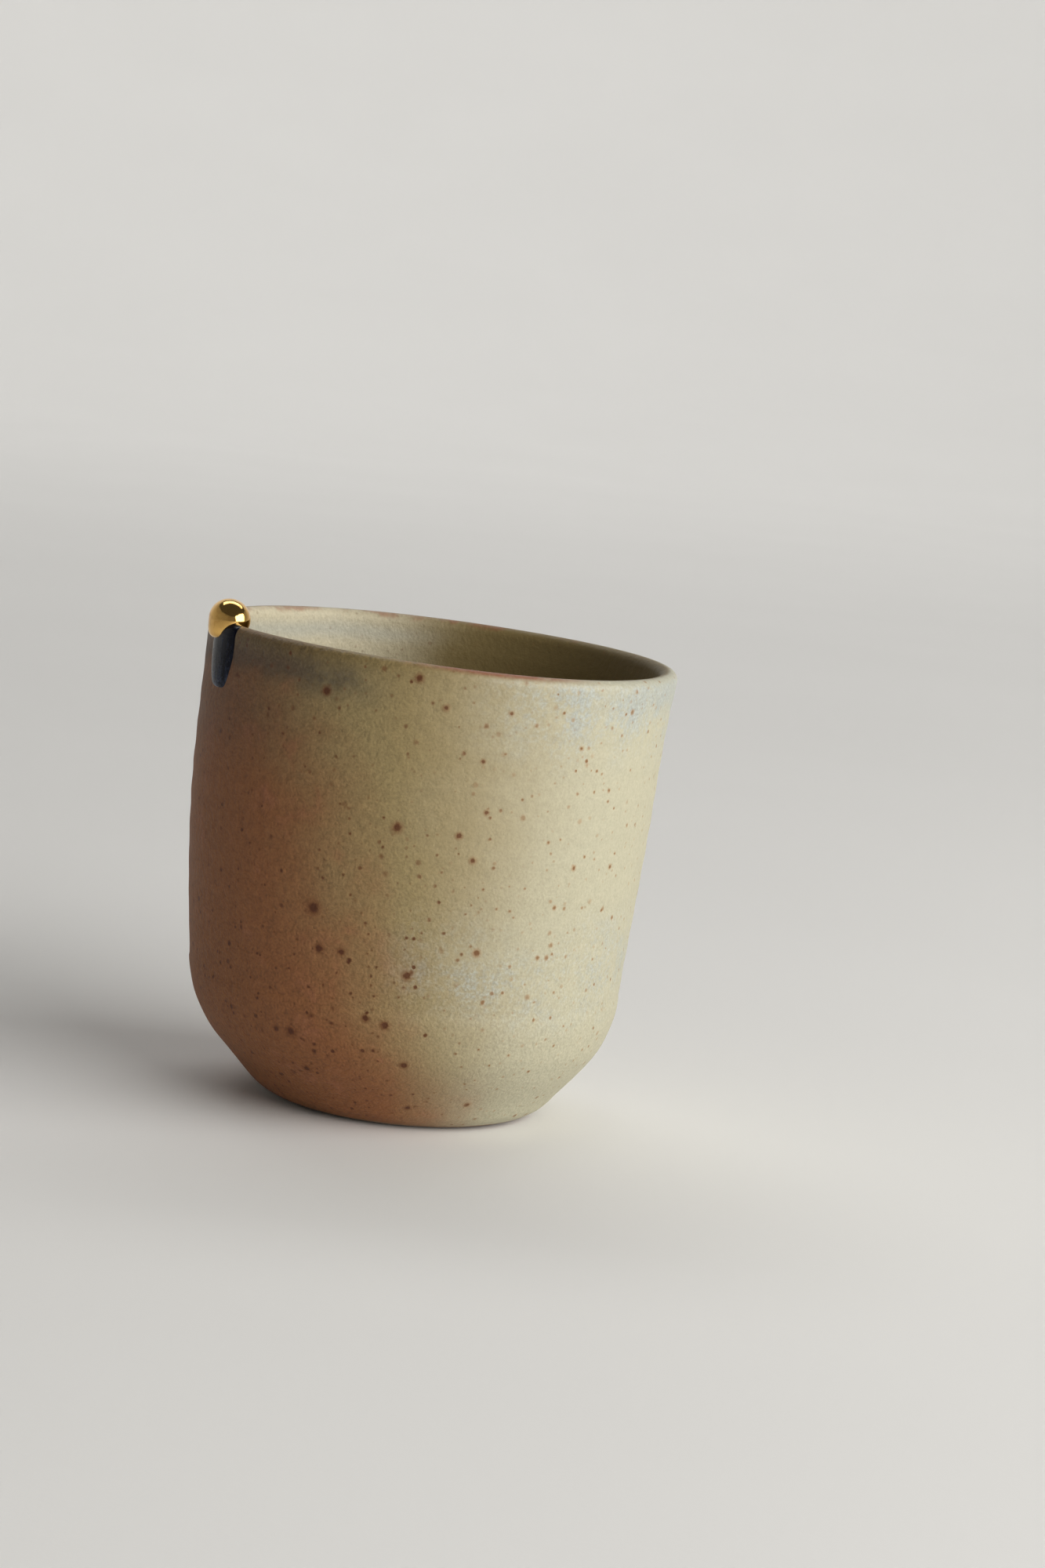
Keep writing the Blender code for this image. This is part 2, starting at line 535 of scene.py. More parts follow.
    def outside(self, heading: float, height: float) -> Vector:
        """A point of the outside, on the wall, the heel or the bevel below it.

        Args:
            heading: Its heading in degrees.
            height: Its height before the cup sways.

        Returns:
            The point on the thrown cup.
        """
        line = self.outer_line(*self.outline_rows)
        below = next(index for index, point in enumerate(line) if point.y < height)
        radius = self.radius(height)
        if below > 0:
            upper, lower = line[below - 1], line[below]
            radius = upper.lerp(lower, (upper.y - height) / (upper.y - lower.y)).x
        angle = math.radians(heading)
        return self.thrown(Vector((radius * math.cos(angle), radius * math.sin(angle), height)))

    def thrown(self, point: Vector) -> Vector:
        """Where a point of the true form lies on the uneven, hand-thrown cup."""
        share = point.z / self.height
        heading = math.radians(self.sway_heading)
        turn = math.atan2(point.y, point.x) - heading
        reach = math.hypot(point.x, point.y) / self.lip_radius
        sway = self.sway * 4 * share * (1 - share)
        waves = math.sin(2 * turn) - math.cos(3 * turn)
        lift = (self.rim_rise * math.cos(turn) + self.rim_wave * waves) * reach * max(share, 0.0) ** 3
        return point + Vector((sway * math.cos(heading), sway * math.sin(heading), lift))

    def skin(self, heading: float, distance: float, proud: float) -> Vector:
        """A point over the lip or down the outside.

        Args:
            heading: Its heading in degrees.
            distance: How far it lies from the crest of the lip along the skin, outwards and down.
            proud: How far it stands off the clay.

        Returns:
            The point on the thrown cup.
        """
        rounding = self.lip_thickness / 2
        quarter = math.pi / 2 * rounding
        if distance < quarter:
            slope = math.pi / 2 - distance / rounding
            radius = self.crest_radius + (rounding + proud) * math.cos(slope)
            height = self.top + (rounding + proud) * math.sin(slope)
        else:
            height = self.top - (distance - quarter)
            radius = self.radius(height, Side.OUTSIDE, proud)
        angle = math.radians(heading)
        return self.thrown(Vector((radius * math.cos(angle), radius * math.sin(angle), height)))


def add_object(name: str, mesh: bpy.types.Mesh) -> bpy.types.Object:
    """A new object for a mesh, in the scene."""
    made = bpy.data.objects.new(name, mesh)
    bpy.context.scene.collection.objects.link(made)
    return made


def plain_mesh(source: bpy.types.Object, name: str) -> bpy.types.Mesh:
    """The mesh that an object shows, with its modifiers applied.

    Args:
        source: The object, which is removed.
        name: The new mesh's name.

    Returns:
        The mesh.
    """
    depsgraph = bpy.context.evaluated_depsgraph_get()
    mesh = bpy.data.meshes.new_from_object(source.evaluated_get(depsgraph), preserve_all_data_layers=True,
                                           depsgraph=depsgraph)
    bpy.data.objects.remove(source)
    mesh.name = name
    return mesh


def shaped_ball(name: str, place: Callable[[Vector], Vector], segments: int,
                rings: int) -> bpy.types.Object:
    """A closed round form.

    Args:
        name: The object's name.
        place: Says where each point of a unit sphere goes.
        segments: The sphere's segments.
        rings: The sphere's rings.

    Returns:
        The object.
    """
    shape = bmesh.new()
    bmesh.ops.create_uvsphere(shape, u_segments=segments, v_segments=rings, radius=1.0)
    for vertex in shape.verts:
        vertex.co = place(vertex.co)
    bmesh.ops.recalc_face_normals(shape, faces=shape.faces)
    mesh = bpy.data.meshes.new(name)
    shape.to_mesh(mesh)
    shape.free()
    mesh.shade_smooth()
    return add_object(name, mesh)


@dataclass
class ThrowingWheel:
    """Geometry nodes that turn a profile on the wheel and leave the hand's marks in it.

    Lengths are metres.

    Attributes:
        form: The cup's form.
        steps: Steps round the cup.
        ring_pitch: How far apart the throwing rings lie.
        ring_depth: Their depth outside.
        inner_ring_depth: Their depth inside.
        dent_pitch: The size of the hand's soft dents.
        dent_depth: Their depth.
        peel_pitch: The size of the glaze's orange-peel waves.
        peel_depth: Their depth.
        wander_pitch: The size of the waves by which the rings wander.
        wander: How far they wander, as a share of their pitch.
        patch_pitch: The size of the patches in which the rings are deep or faint.
        lip_free: From the first distance to the second, beside the crest, the rings set in.
        foot_free: From the first height to the second the marks set in.
        merge: Points closer than this become one.
        seed: The number that picks the hand's marks.
    """

    form: ThrownForm
    steps: int = 372
    ring_pitch: float = 6.4 * MM
    ring_depth: float = 0.05 * MM
    inner_ring_depth: float = 0.11 * MM
    dent_pitch: float = 26.0 * MM
    dent_depth: float = 0.12 * MM
    peel_pitch: float = 2.6 * MM
    peel_depth: float = 0.022 * MM
    wander_pitch: float = 30.0 * MM
    wander: float = 0.35
    patch_pitch: float = 22.0 * MM
    lip_free: Span = (2.0 * MM, 9.0 * MM)
    foot_free: Span = (0.4 * MM, 5.0 * MM)
    merge: float = 0.01 * MM
    seed: float = 7.0

    def tree(self, glaze: bpy.types.Material) -> tuple[bpy.types.NodeTree, dict[str, float | int]]:
        """Builds the node tree.

        Args:
            glaze: The finished skin's material.

        Returns:
            The tree, and its inputs' values by socket identifier.
        """
        tree = bpy.data.node_groups.new("throwing_wheel", "GeometryNodeTree")
        tree.interface.new_socket("Geometry", in_out="OUTPUT", socket_type="NodeSocketGeometry")
        tree.interface.new_socket("Profile", in_out="INPUT", socket_type="NodeSocketGeometry")
        form = self.form
        sizes = {"Height": form.height, "Lip Radius": form.lip_radius, "Sway": form.sway,
                 "Sway Heading": math.radians(form.sway_heading), "Rim Rise": form.rim_rise,
                 "Rim Wave": form.rim_wave, "Ring Pitch": self.ring_pitch, "Ring Depth": self.ring_depth,
                 "Inner Ring Depth": self.inner_ring_depth, "Dent Depth": self.dent_depth,
                 "Peel Depth": self.peel_depth, "Seed": self.seed}
        values = {}
        steps = tree.interface.new_socket("Steps", in_out="INPUT", socket_type="NodeSocketInt")
        values[steps.identifier] = self.steps
        for name, size in sizes.items():
            socket = tree.interface.new_socket(name, in_out="INPUT", socket_type="NodeSocketFloat")
            values[socket.identifier] = size
        graph = Graph(tree)
        profile = graph.add("NodeGroupInput", None, None, "Profile")
        given = {name: graph.other(profile, name) for name in ("Steps", *sizes)}
        turned = self._turn(graph, profile, given["Steps"])
        marked = self._mark(graph, turned, given)
        swayed = self._sway(graph, marked, given)
        smooth = graph.add("GeometryNodeSetShadeSmooth", None, {"Geometry": swayed})
        real = graph.add("GeometryNodeRealizeInstances", None, {"Geometry": smooth})
        dressed = graph.add("GeometryNodeSetMaterial", None, {"Geometry": real, "Material": glaze})
        graph.end("NodeGroupOutput", "Geometry", dressed)
        return tree, values

    def _turn(self, graph: Graph, profile: Value, steps: Value) -> Value:
        """Turns the profile into a closed skin.

        Args:
            graph: The tree's graph.
            profile: The profile, one point for each row.
            steps: The steps round the cup.

        Returns:
            The skin, which keeps each row's distance from the crest.
        """
        rows = graph.add("GeometryNodeAttributeDomainSize", {"component": "MESH"}, {"Geometry": profile},
                         "Point Count")
        grid = graph.add("GeometryNodeMeshGrid", None,
                         {"Size X": 1.0, "Size Y": 1.0, "Vertices X": steps + 1.0,
                          "Vertices Y": rows}, "Mesh")
        across, along, _ = graph.parts(graph.add("GeometryNodeInputPosition"))
        row = (along + 0.5) * (rows - 1.0)
        index = graph.add("FunctionNodeFloatToInt", {"rounding_mode": "ROUND"}, {"Float": row})
        distance = graph.add("GeometryNodeInputNamedAttribute", {"data_type": "FLOAT"},
                             {"Name": CREST_DISTANCE}, "Attribute")
        sampled = graph.add("GeometryNodeSampleIndex", {"data_type": "FLOAT", "domain": "POINT"},
                            {"Geometry": profile, "Value": distance, "Index": index}, "Value")
        kept = graph.add("GeometryNodeStoreNamedAttribute", {"data_type": "FLOAT", "domain": "POINT"},
                         {"Geometry": grid, "Name": CREST_DISTANCE, "Value": sampled})
        spot = graph.add("GeometryNodeSampleIndex", {"data_type": "FLOAT_VECTOR", "domain": "POINT"},
                         {"Geometry": profile, "Value": graph.add("GeometryNodeInputPosition"),
                          "Index": index}, "Value")
        radius, _, height = graph.parts(spot)
        angle = (across + 0.5) * (-2 * math.pi)
        place = graph.joined(radius * angle.cosine(), radius * angle.sine(), height)
        turned = graph.add("GeometryNodeSetPosition", None, {"Geometry": kept, "Position": place})
        return graph.add("GeometryNodeMergeByDistance", None, {"Geometry": turned, "Distance": self.merge})

    def _mark(self, graph: Graph, skin: Value, given: dict[str, Value]) -> Value:
        """Leaves throwing rings, soft dents and the glaze's waves in the skin.

        Args:
            graph: The tree's graph.
            skin: The turned skin.
            given: The tree's inputs.

        Returns:
            The marked skin. Its flat underside stays flat.
        """
        position = graph.add("GeometryNodeInputPosition")
        x, y, z = graph.parts(position)
        place = graph.vector("ADD", position, graph.joined(given["Seed"] * SEED_SHIFT, 0.0, 0.0))
        distance = graph.add("GeometryNodeInputNamedAttribute", {"data_type": "FLOAT"},
                             {"Name": CREST_DISTANCE}, "Attribute")
        turn = graph.math("ARCTAN2", y, x) / (2 * math.pi)
        wander = graph.noise(place, self.wander_pitch, 1.0) * self.wander
        rings = ((z / given["Ring Pitch"] + turn + wander) * (2 * math.pi)).sine()
        patchy = graph.noise(place, self.patch_pitch, 1.0) * 0.6 + 0.7
        outside = distance.step(-1 * MM, 1 * MM)
        depth = given["Inner Ring Depth"] * (1.0 - outside) + given["Ring Depth"] * outside
        below_lip = abs(distance).step(*self.lip_free)
        dents = graph.noise(place, self.dent_pitch, 1.0) * given["Dent Depth"]
        peel = (graph.noise(place, self.peel_pitch, 1.0) - 1.0) * given["Peel Depth"]
        relief = rings * depth * patchy * below_lip + dents * below_lip + peel
        off_foot = z.step(*self.foot_free)
        normal = graph.add("GeometryNodeInputNormal")
        offset = graph.add("ShaderNodeVectorMath", {"operation": "SCALE"},
                           {0: normal, "Scale": relief * off_foot})
        return graph.add("GeometryNodeSetPosition", None, {"Geometry": skin, "Offset": offset})

    def _sway(self, graph: Graph, skin: Value, given: dict[str, Value]) -> Value:
        """Gives the skin the hand's unevenness, as ThrownForm.thrown does.

        Args:
            graph: The tree's graph.
            skin: The marked skin.
            given: The tree's inputs.

        Returns:
            The uneven skin.
        """
        x, y, z = graph.parts(graph.add("GeometryNodeInputPosition"))
        heading = given["Sway Heading"]
        share = z / given["Height"]
        turn = graph.math("ARCTAN2", y, x) - heading
        reach = (x * x + y * y) ** 0.5 / given["Lip Radius"]
        sway = given["Sway"] * 4.0 * share * (1.0 - share)
        waves = (turn * 2.0).sine() - (turn * 3.0).cosine()
        lift = (given["Rim Rise"] * turn.cosine() + given["Rim Wave"] * waves) * reach
        lift = lift * share.at_least(0.0) ** 3.0
        offset = graph.joined(sway * heading.cosine(), sway * heading.sine(), lift)
        return graph.add("GeometryNodeSetPosition", None, {"Geometry": skin, "Offset": offset})

    def turn(self, name: str, line: list[Vector], crest: int,
             glaze: bpy.types.Material) -> bpy.types.Object:
        """Throws a piece.

        Args:
            name: The piece's name.
            line: Its profile as radius and height, from the floor's middle to the foot's middle.
            crest: The number of the profile point on the crest of the lip.
            glaze: Its material.

        Returns:
            The piece as a plain mesh.
        """
        mesh = bpy.data.meshes.new(name + "_profile")
        edges = [(index, index + 1) for index in range(len(line) - 1)]
        mesh.from_pydata([(point.x, 0.0, point.y) for point in line], edges, [])
        lengths = [0.0]
        for before, after in zip(line, line[1:]):
            lengths.append(lengths[-1] + (after - before).length)
        distances = mesh.attributes.new(CREST_DISTANCE, "FLOAT", "POINT")
        distances.data.foreach_set("value", [length - lengths[crest] for length in lengths])
        profile = add_object(name + "_profile", mesh)
        tree, values = self.tree(glaze)
        wheel = profile.modifiers.new("throwing_wheel", "NODES")
        wheel.node_group = tree
        for identifier, value in values.items():
            wheel[identifier] = value
        return add_object(name, plain_mesh(profile, name))


@dataclass(frozen=True)
class AshGlazeColours:
    """The ash glaze's colours as linear RGB, some of them standing partly for painted light and shade."""

    cream: Colour = (0.415, 0.390, 0.280)
    ochre: Colour = (0.288, 0.218, 0.098)
    flash_and_shade: Colour = (0.258, 0.098, 0.035)
    blush_and_bounce_light: Colour = (0.340, 0.135, 0.072)
    pale_blue: Colour = (0.330, 0.355, 0.335)
    dark_blue: Colour = (0.070, 0.061, 0.046)
    olive: Colour = (0.175, 0.125, 0.050)
    red_clay: Colour = (0.245, 0.086, 0.042)
    dark_iron: Colour = (0.080, 0.021, 0.005)
    brown_iron: Colour = (0.135, 0.041, 0.011)
    russet_iron: Colour = (0.170, 0.078, 0.026)
    orange_iron: Colour = (0.320, 0.180, 0.070)
    inner_cream_and_light: Colour = (0.500, 0.450, 0.320)
    inner_olive_and_shade: Colour = (0.195, 0.143, 0.056)
    bare_clay: Colour = (0.250, 0.160, 0.100)
    pale_clay: Colour = (0.340, 0.235, 0.155)


@dataclass(frozen=True)
class AshGlazeZones:
    """Where the ash glaze changes, as where a change starts and where it is complete.

    The names that end in band hold a middle and a reach instead. Places across run from -1 at the left edge
    to 1 at the right edge, turns are degrees from the front, and all others are millimetres.

    Attributes:
        cream: Across, from ochre to cream.
        flash_and_shade: The amount at which the brown flashing, partly painted shade on the left side,
            starts and is full.
        flash_and_shade_middle: The height at which the flashing and its painted shade keep their place.
        flash_and_shade_lean: How far it shifts sideways with each millimetre of height.
        low_flash_and_shade: The heights at which the flashing and its painted shade spread towards the
            foot.
        coarse: The heights at which the grain grows coarse.
        shady: Across, where the grain stands out in the shade.
        bloom_top: From the crest, where the pale blue bloom sets in.
        bloom_end: From the crest, where it ends.
        bloom_side: Across, where it sets in.
        bloom_and_highlight_band: From the crest, the even pale blue bloom along the lip at the far right,
            partly a painted highlight.
        bloom_and_highlight_side: Across, where that sets in.
        low_band: The height of the lower bloom.
        low_side: Across, where the lower bloom sets in.
        smoke_and_shade_band: From the crest, the dark blue-grey band under the left rim, mottled glaze
            partly deepened as painted shade.
        smoke_and_shade_side: Across, where that band sets in.
        shade_band: From the crest, painted shade round the run and down the left side.
        shade_side: Across, where the painted shade sets in.
        olive_end: From the crest, where the olive glaze ends.
        olive_side: Across, where it sets in.
        inner_light_turn: The turn of the inside's palest place, behind the bead, where light is painted on
            the cream.
        inner_light_side: How far round from it the cream and its painted light reach, as a cosine.
        inner_light_depth: From the crest, how far down it reaches.
        inner_band: From the crest, the pale blue line inside.
        satin_band: From the crest, the smoother glaze of the lip.
        rust_band: The turn of the rust line in front.
        rust_back: The turn beyond which the lip is rusty behind.
        crowd_side: Across, where the specks crowd.
        crowd_height: The heights at which they crowd.
        foot: The heights at which the clay is glazed and bare.
    """

    cream: Span = (-0.20, 0.76)
    flash_and_shade: Span = (-0.07, 0.72)
    flash_and_shade_middle: float = 45.0
    flash_and_shade_lean: float = 0.008
    low_flash_and_shade: Span = (26.0, 4.0)
    coarse: Span = (62.0, 18.0)
    shady: Span = (0.30, -0.55)
    bloom_top: Span = (0.8, 3.0)
    bloom_end: Span = (20.0, 7.0)
    bloom_side: Span = (0.03, 0.62)
    bloom_and_highlight_band: Span = (4.5, 6.5)
    bloom_and_highlight_side: Span = (0.45, 0.95)
    low_band: Span = (33.0, 13.0)
    low_side: Span = (-0.20, 0.28)
    smoke_and_shade_band: Span = (5.6, 5.2)
    smoke_and_shade_side: Span = (-0.12, -0.48)
    shade_band: Span = (14.0, 17.0)
    shade_side: Span = (-0.35, -0.85)
    olive_end: Span = (6.0, 2.0)
    olive_side: Span = (0.24, -0.50)
    inner_light_turn: float = -125.0
    inner_light_side: Span = (0.48, 1.0)
    inner_light_depth: Span = (-46.0, -16.0)
    inner_band: Span = (-5.0, 2.8)
    satin_band: Span = (2.0, 6.0)
    rust_band: Span = (14.0, 30.0)
    rust_back: Span = (85.0, 120.0)
    crowd_side: Span = (0.35, -0.45)
    crowd_height: Span = (54.0, 24.0)
    foot: Span = (1.15, 0.75)


@dataclass(frozen=True)
class SpeckSize:
    """One size of the small iron specks, scattered by cells.

    Attributes:
        cell: The size of the cells, which hold a speck each, in millimetres.
        chance: The share of the cells that do.
        widest: The widest speck's radius in millimetres.
    """

    cell: float
    chance: float
    widest: float


@dataclass(frozen=True)
class GlazePlace:
    """Where a point lies on the cup, as the glaze's pattern sees it.

    Attributes:
        point: The point in millimetres.
        height: Its height above the foot in millimetres.
        turn: Degrees round the cup from its front, positive to the right.
        across: From -1 at the left edge, seen from the front, to 1 at the right edge.
        crest: Millimetres along the skin from the lip's crest, negative inside.
        outside: 1 outside, 0 inside.
        drift: Broad noise, some 24 mm wide.
        cloud: Noise some 7 mm wide.
        crumb: Noise some 1.4 mm wide.
        grain: Noise some 0.5 mm wide.
    """

    point: Value
    height: Value
    turn: Value
    across: Value
    crest: Value
    outside: Value
    drift: Value
    cloud: Value
    crumb: Value
    grain: Value


class AshGlaze(Finish):
    """A matt, grainy ash glaze over iron-speckled stoneware."""

    name = "ash_glaze"
    colours = AshGlazeColours()
    zones = AshGlazeZones()
    specks = (SpeckSize(1.8, 0.70, 0.44), SpeckSize(3.1, 0.50, 0.64), SpeckSize(7.0, 0.42, 0.88))

    def __init__(self, form: ThrownForm, front: float, spots: list[IronSpot]) -> None:
        """Takes what the pattern follows.

        Args:
            form: The cup's form.
            front: The heading of the cup's front, in degrees.
            spots: The larger iron spots.
        """
        super().__init__()
        self.form = form
        self.front = front
        self.spots = spots

    def shader(self, graph: Graph, place: Value) -> Value:
        """Builds the surface.

        Args:
            graph: The material's graph.
            place: The point on the piece, in millimetres.

        Returns:
            The surface's shader.
        """
        at = self._place(graph, place)
        fired, paleness = self._fired(graph, at)
        clouded, cloudiness = self._rutile(graph, at, fired)
        lined = graph.mix(1.0 - at.outside, clouded, self._inside(graph, at))
        rimmed = self._lip(graph, at, lined)
        coarse = (at.height + at.drift * 12.0).step(*self.zones.coarse)
        shady = at.across.step(*self.zones.shady)
        fine = at.grain * (0.15 + cloudiness * 0.28 + coarse * 0.12 + shady * 0.26)
        mottle = (fine + at.crumb * (shady * 0.16 + 0.09)) * (at.outside * 0.55 + 0.45) + 1.0
        grained = graph.mix(1.0, rimmed, graph.joined(mottle, mottle, mottle), Blend.MULTIPLY)
        halo, core = self._iron(graph, at)
        # The spots follow the glaze's paleness, so the painted shade on the left darkens them too.
        stain = graph.mix(paleness, self.colours.brown_iron, self.colours.orange_iron)
        heart = graph.mix(paleness, self.colours.dark_iron, self.colours.russet_iron)
        stained = graph.mix(halo * 0.8, grained, stain)
        spotted = graph.mix(core * 0.92, stained, heart)
        bare, rings, colour = self._foot(graph, at, spotted)
        relief = (at.grain * (0.036 + coarse * 0.030) + at.crumb * 0.072) * (shady * 0.5 + 0.9)
        relief = relief * (1.0 - bare) + halo * 0.03 - core * 0.03
        relief = relief + bare * (rings * 0.025 + at.grain * 0.05)
        satin = at.crest.hump(*self.zones.satin_band) * 0.16
        rough = 0.60 + at.cloud * 0.05 + at.grain * 0.08 - core * 0.10 - satin + bare * 0.3
        return graph.add("ShaderNodeBsdfPrincipled", None,
                         {"Base Color": colour, "Roughness": rough.at_most(0.95),
                          "Normal": self.bumped(graph, relief), "Specular IOR Level": 0.32})

    def _place(self, graph: Graph, point: Value) -> GlazePlace:
        """Works out where a point lies.

        Args:
            graph: The material's graph.
            point: The point in millimetres.

        Returns:
            Its place on the cup.
        """
        x, y, z = graph.parts(point)
        front = math.radians(self.front)
        ahead = x * math.cos(front) + y * math.sin(front)
        right = y * math.cos(front) - x * math.sin(front)
        turn = graph.math("ARCTAN2", right, ahead) * (180 / math.pi)
        crest = graph.add("ShaderNodeAttribute", {"attribute_name": CREST_DISTANCE}, None, "Fac") * (1 / MM)
        across = right / (ahead * ahead + right * right + 0.01) ** 0.5
        return GlazePlace(point=point, height=z, turn=turn, across=across, crest=crest,
                          outside=crest.step(-0.5, 0.5), drift=graph.noise(point, 24.0, 2.0, 0.6),
                          cloud=graph.noise(point, 7.0, 3.0, 0.3), crumb=graph.noise(point, 1.4, 2.0),
                          grain=graph.noise(point, 0.50, 2.0))

    def _fired(self, graph: Graph, at: GlazePlace) -> tuple[Value, Value]:
        """The kiln's broad colours: cream to the right, ochre in front, and a brown flashing to the lower
        left that also holds painted shade, deepest at the left edge and low down.

        Args:
            graph: The material's graph.
            at: The point's place.

        Returns:
            The colour, and how pale it is from 0 to 1, which is low where the flashing and painted shade
            lie.
        """
        hues = self.colours
        zones = self.zones
        cream = (at.across + at.drift * 0.16 + at.cloud * 0.07).step(*zones.cream)
        colour = graph.mix(cream, hues.ochre, hues.cream)
        # Flashing of the kiln to the left, partly painted shade: it grows towards the left edge and towards
        # the foot.
        flash_and_shade_amount = at.drift * 0.20 + at.cloud * 0.12 - at.across
        flash_and_shade_amount = flash_and_shade_amount - (at.height - zones.flash_and_shade_middle) * zones.flash_and_shade_lean
        flash_and_shade_amount = flash_and_shade_amount + at.height.step(*zones.low_flash_and_shade) * 0.25
        flash_and_shade = flash_and_shade_amount.step(*zones.flash_and_shade)
        colour = graph.mix(flash_and_shade * 0.95, colour, hues.flash_and_shade)
        # A pink flush on the flashing, partly painted warm light bounced onto the shaded side.
        blush_and_bounce_light = flash_and_shade * (at.cloud * 0.9 + at.crumb * 0.25).step(0.05, 0.6)
        colour = graph.mix(blush_and_bounce_light * 0.55, colour, hues.blush_and_bounce_light)
        return colour, (cream + 0.15) * (1.0 - flash_and_shade)

    def _rutile(self, graph: Graph, at: GlazePlace, colour: Value) -> tuple[Value, Value]:
        """Adds pale blue clouds under the rim and low at the right with a painted highlight along the lip
        at the far right, and a dark blue-grey band under the left rim with painted shade round the run.

        Args:
            graph: The material's graph.
            at: The point's place.
            colour: The colour below.

        Returns:
            The colour, and how cloudy it is from 0 to 1, counting the painted highlight and the painted
            shade.
        """
        hues = self.colours
        zones = self.zones
        veins = graph.noise(at.point, 1.0, 3.0, 0.4)
        broken = (at.cloud * 0.8 + veins * 0.8 + at.grain * 0.3).step(-0.30, 0.55)
        high = at.crest.step(*zones.bloom_top) * (at.crest + at.drift * 5.0).step(*zones.bloom_end)
        # Even pale blue along the lip at the far right: bloom of the glaze and partly a painted highlight
        # of the lit lip.
        bloom_and_highlight = at.crest.hump(*zones.bloom_and_highlight_band) * at.across.step(*zones.bloom_and_highlight_side) * 0.7
        low = (at.height + at.drift * 9.0).hump(*zones.low_band) * at.across.step(*zones.low_side)
        pale = ((high * at.across.step(*zones.bloom_side) + low * 0.85) * broken + bloom_and_highlight).at_most(1.0)
        colour = graph.mix(pale * 0.80, colour, hues.pale_blue)
        # A dark blue-grey mottled band under the left rim, partly painted shade.
        smoke_and_shade = (at.crest + at.drift * 3.0 + at.cloud * 2.5).hump(*zones.smoke_and_shade_band)
        smoke_and_shade = smoke_and_shade * at.across.step(*zones.smoke_and_shade_side)
        dark = smoke_and_shade * (at.cloud * 0.5 + veins * 0.5 + at.grain * 0.5 + 0.9)
        # Painted shade round the run and down the left side below the rim.
        shade = (at.crest + at.drift * 5.0).hump(*zones.shade_band)
        shade = shade * at.across.step(*zones.shade_side) * 0.45
        dark = (dark + shade).at_least(0.0).at_most(1.0)
        colour = graph.mix(dark * 0.72, colour, hues.dark_blue)
        olive = at.crest.step(*zones.olive_end) * at.across.step(*zones.olive_side)
        return graph.mix(olive * 0.6, colour, hues.olive), (pale + dark).at_most(1.0)

    def _inside(self, graph: Graph, at: GlazePlace) -> Value:
        """The inside: cream below the rim to the left, partly painted light where light falls in, and olive
        lower down and to the right, partly painted shade.

        Args:
            graph: The material's graph.
            at: The point's place.

        Returns:
            The colour.
        """
        hues = self.colours
        zones = self.zones
        # Cream inside below the rim at the back left, partly painted light; olive elsewhere, partly painted
        # shade.
        away = (at.turn - zones.inner_light_turn + at.drift * 14.0) * (math.pi / 180)
        left = away.cosine().step(*zones.inner_light_side)
        shallow = (at.crest + at.drift * 8.0).step(*zones.inner_light_depth)
        colour = graph.mix(left * shallow, hues.inner_olive_and_shade, hues.inner_cream_and_light)
        band = (at.crest + at.drift * 1.5).hump(*zones.inner_band) * left
        return graph.mix(band * 0.45, colour, hues.pale_blue)

    def _lip(self, graph: Graph, at: GlazePlace, colour: Value) -> Value:
        """The crest of the lip, where the glaze breaks thin and the clay burns rust red through it.

        Args:
            graph: The material's graph.
            at: The point's place.
            colour: The colour below.

        Returns:
            The colour.
        """
        front = at.turn.hump(*self.zones.rust_band)
        back = abs(at.turn).step(*self.zones.rust_back) * (at.drift + at.cloud * 1.4).step(-0.50, 0.60)
        broken = (at.cloud * 1.3 + at.crumb * 0.7 + 0.75).at_least(0.1).at_most(1.0)
        burnt = (front + back * 0.42).at_most(1.0) * broken
        line = (at.crest - 0.50 + back * 1.3 + at.crumb * 0.25 + at.cloud * 0.55).hump(0.0, 1.70)
        return graph.mix(((line * burnt) * 1.5).at_least(0.0).at_most(0.9), colour, self.colours.red_clay)

    def _iron(self, graph: Graph, at: GlazePlace) -> tuple[Value, Value]:
        """Builds the iron spots.

        Args:
            graph: The material's graph.
            at: The point's place.

        Returns:
            The spots' soft halos and their dark cores, from 0 to 1.
        """
        ragged = at.crumb * 0.17 + at.grain * 0.11
        crowd = at.across.step(*self.zones.crowd_side) * at.height.step(*self.zones.crowd_height)
        crowd = crowd * at.outside * 0.42
        halo: Value | float = 0.0
        core: Value | float = 0.0
        for speck in self.specks:
            distance = graph.add("ShaderNodeTexVoronoi", {"feature": "F1", "voronoi_dimensions": "3D"},
                                 {"Vector": at.point, "Scale": 1.0 / speck.cell}, "Distance")
            luck, size, strength = graph.parts(graph.other(distance, "Color"))
            present = (luck + crowd).step(1.0 - speck.chance, 1.02 - speck.chance)
            radius = (size * 0.6 + 0.4) * speck.widest
            reach = distance * speck.cell + ragged
            depth = (radius - reach) / speck.widest
            halo = depth.step(-0.30, 0.50) * present * (strength * 0.60 + 0.40) + halo
            solid = (strength * 1.1 + crowd * 1.4 - 0.10).at_least(0.0).at_most(1.0)
            core = depth.step(0.05, 0.60) * present * solid + core
        for spot in self.spots:
            reach = graph.vector("DISTANCE", at.point, tuple(self._spot_centre(spot)), output="Value")
            reach = reach + ragged * 1.4
            halo = halo + reach.step(spot.width * 1.05, spot.width * 0.15)
            core = core + reach.step(spot.width * 0.52, spot.width * 0.24)
        fewer = at.outside * 0.75 + 0.25
        return (halo * fewer).at_most(1.0), (core * fewer).at_most(1.0)

    def _spot_centre(self, spot: IronSpot) -> Vector:
        """The centre of a spot in millimetres."""
        return self.form.outside(spot.heading, spot.height * MM) / MM

